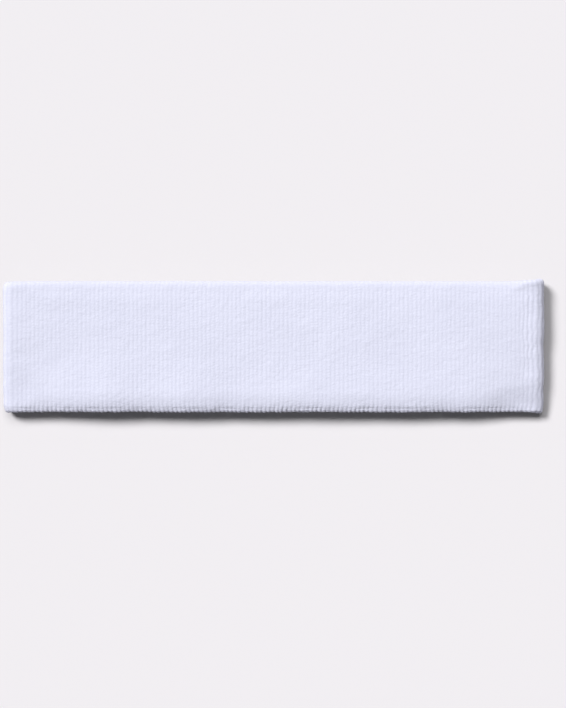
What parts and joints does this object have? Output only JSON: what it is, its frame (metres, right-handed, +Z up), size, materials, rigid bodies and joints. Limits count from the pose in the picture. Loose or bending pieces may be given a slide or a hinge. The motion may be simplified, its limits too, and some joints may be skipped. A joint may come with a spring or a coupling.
{
  "type": "sports headband",
  "caption": "Seamless stretch loop of white ribbed terry, pressed flat, that opens into an oval and is worn round the head to hold back sweat.",
  "frame": {"origin": "on the surface that the flat band lies on, under the middle of its back wall", "axes": "+X along the flat band from fold to fold, +Y across its width from rim to rim, +Z up from the surface; the loop opens in the XZ plane and goes over the head along Y"},
  "size_m": [0.208, 0.05, 0.0105],
  "materials": {
    "terry": "matt white ribbed cotton terry with a fine looped pile",
    "elastic_yarn": "nylon-covered elastic yarn, off-white",
    "seam_thread": "twisted polyester sewing thread, white"
  },
  "bodies": {
    "back_center": {"outer_terry_back_center": "terry", "inner_terry_back_center": "terry", "elastic_yarns_back_center": "elastic_yarn", "seam_thread_back_center": "seam_thread"},
    "back_right_1": {"outer_terry_back_right_1": "terry", "inner_terry_back_right_1": "terry", "elastic_yarns_back_right_1": "elastic_yarn", "seam_thread_back_right_1": "seam_thread"},
    "back_right_2": {"outer_terry_back_right_2": "terry", "inner_terry_back_right_2": "terry", "elastic_yarns_back_right_2": "elastic_yarn", "seam_thread_back_right_2": "seam_thread"},
    "right_fold": {"outer_terry_right_fold": "terry", "inner_terry_right_fold": "terry", "elastic_yarns_right_fold": "elastic_yarn", "seam_thread_right_fold": "seam_thread"},
    "front_right_2": {"outer_terry_front_right_2": "terry", "inner_terry_front_right_2": "terry", "elastic_yarns_front_right_2": "elastic_yarn", "seam_thread_front_right_2": "seam_thread"},
    "front_right_1": {"outer_terry_front_right_1": "terry", "inner_terry_front_right_1": "terry", "elastic_yarns_front_right_1": "elastic_yarn", "seam_thread_front_right_1": "seam_thread"},
    "front_center_right": {"outer_terry_front_center_right": "terry", "inner_terry_front_center_right": "terry", "elastic_yarns_front_center_right": "elastic_yarn", "seam_thread_front_center_right": "seam_thread"},
    "back_left_1": {"outer_terry_back_left_1": "terry", "inner_terry_back_left_1": "terry", "elastic_yarns_back_left_1": "elastic_yarn", "seam_thread_back_left_1": "seam_thread"},
    "back_left_2": {"outer_terry_back_left_2": "terry", "inner_terry_back_left_2": "terry", "elastic_yarns_back_left_2": "elastic_yarn", "seam_thread_back_left_2": "seam_thread"},
    "left_fold": {"outer_terry_left_fold": "terry", "inner_terry_left_fold": "terry", "elastic_yarns_left_fold": "elastic_yarn", "seam_thread_left_fold": "seam_thread"},
    "front_left_2": {"outer_terry_front_left_2": "terry", "inner_terry_front_left_2": "terry", "elastic_yarns_front_left_2": "elastic_yarn", "seam_thread_front_left_2": "seam_thread"},
    "front_left_1": {"outer_terry_front_left_1": "terry", "inner_terry_front_left_1": "terry", "elastic_yarns_front_left_1": "elastic_yarn", "seam_thread_front_left_1": "seam_thread"},
    "front_center_left": {"outer_terry_front_center_left": "terry", "inner_terry_front_center_left": "terry", "elastic_yarns_front_center_left": "elastic_yarn", "seam_thread_front_center_left": "seam_thread"}
  },
  "joints": [
    {"name": "loop_opening", "type": "hinge", "parent": "back_center", "child": "back_right_1", "pos_m": [0.01975, 0, 0], "axis": [0, -1, 0], "range_deg": [0, 30]},
    {"name": "back_right_2_bend", "type": "hinge", "parent": "back_right_1", "child": "back_right_2", "pos_m": [0.05925, 0, 0], "axis": [0, -1, 0], "range_deg": [0, 30]},
    {"name": "right_fold_lower_turn", "type": "hinge", "parent": "back_right_2", "child": "right_fold", "pos_m": [0.10175, 0, 0.00525], "axis": [0, 1, 0], "range_deg": [0, 60], "deforming": ["outer_terry_right_fold", "inner_terry_right_fold", "elastic_yarns_right_fold", "seam_thread_right_fold"]},
    {"name": "right_fold_upper_turn", "type": "hinge", "parent": "right_fold", "child": "front_right_2", "pos_m": [0.10175, 0, 0.00525], "axis": [0, 1, 0], "range_deg": [0, 60]},
    {"name": "front_right_1_bend", "type": "hinge", "parent": "front_right_2", "child": "front_right_1", "pos_m": [0.05925, 0, 0.0105], "axis": [0, -1, 0], "range_deg": [0, 30]},
    {"name": "front_center_right_bend", "type": "hinge", "parent": "front_right_1", "child": "front_center_right", "pos_m": [0.01975, 0, 0.0105], "axis": [0, -1, 0], "range_deg": [0, 30]},
    {"name": "back_left_1_bend", "type": "hinge", "parent": "back_center", "child": "back_left_1", "pos_m": [-0.01975, 0, 0], "axis": [0, 1, 0], "range_deg": [0, 30]},
    {"name": "back_left_2_bend", "type": "hinge", "parent": "back_left_1", "child": "back_left_2", "pos_m": [-0.05925, 0, 0], "axis": [0, 1, 0], "range_deg": [0, 30]},
    {"name": "left_fold_lower_turn", "type": "hinge", "parent": "back_left_2", "child": "left_fold", "pos_m": [-0.10175, 0, 0.00525], "axis": [0, -1, 0], "range_deg": [0, 60], "deforming": ["outer_terry_left_fold", "inner_terry_left_fold", "elastic_yarns_left_fold", "seam_thread_left_fold"]},
    {"name": "left_fold_upper_turn", "type": "hinge", "parent": "left_fold", "child": "front_left_2", "pos_m": [-0.10175, 0, 0.00525], "axis": [0, -1, 0], "range_deg": [0, 60]},
    {"name": "front_left_1_bend", "type": "hinge", "parent": "front_left_2", "child": "front_left_1", "pos_m": [-0.05925, 0, 0.0105], "axis": [0, 1, 0], "range_deg": [0, 30]},
    {"name": "front_center_left_bend", "type": "hinge", "parent": "front_left_1", "child": "front_center_left", "pos_m": [-0.01975, 0, 0.0105], "axis": [0, 1, 0], "range_deg": [0, 30]}
  ],
  "couplings": [
    {"joint": "back_right_2_bend", "follows": "loop_opening", "ratio": 1},
    {"joint": "right_fold_lower_turn", "follows": "loop_opening", "ratio": 2},
    {"joint": "right_fold_upper_turn", "follows": "loop_opening", "ratio": 2},
    {"joint": "front_right_1_bend", "follows": "loop_opening", "ratio": 1},
    {"joint": "front_center_right_bend", "follows": "loop_opening", "ratio": 1},
    {"joint": "back_left_1_bend", "follows": "loop_opening", "ratio": 1},
    {"joint": "back_left_2_bend", "follows": "loop_opening", "ratio": 1},
    {"joint": "left_fold_lower_turn", "follows": "loop_opening", "ratio": 2},
    {"joint": "left_fold_upper_turn", "follows": "loop_opening", "ratio": 2},
    {"joint": "front_left_1_bend", "follows": "loop_opening", "ratio": 1},
    {"joint": "front_center_left_bend", "follows": "loop_opening", "ratio": 1}
  ]
}
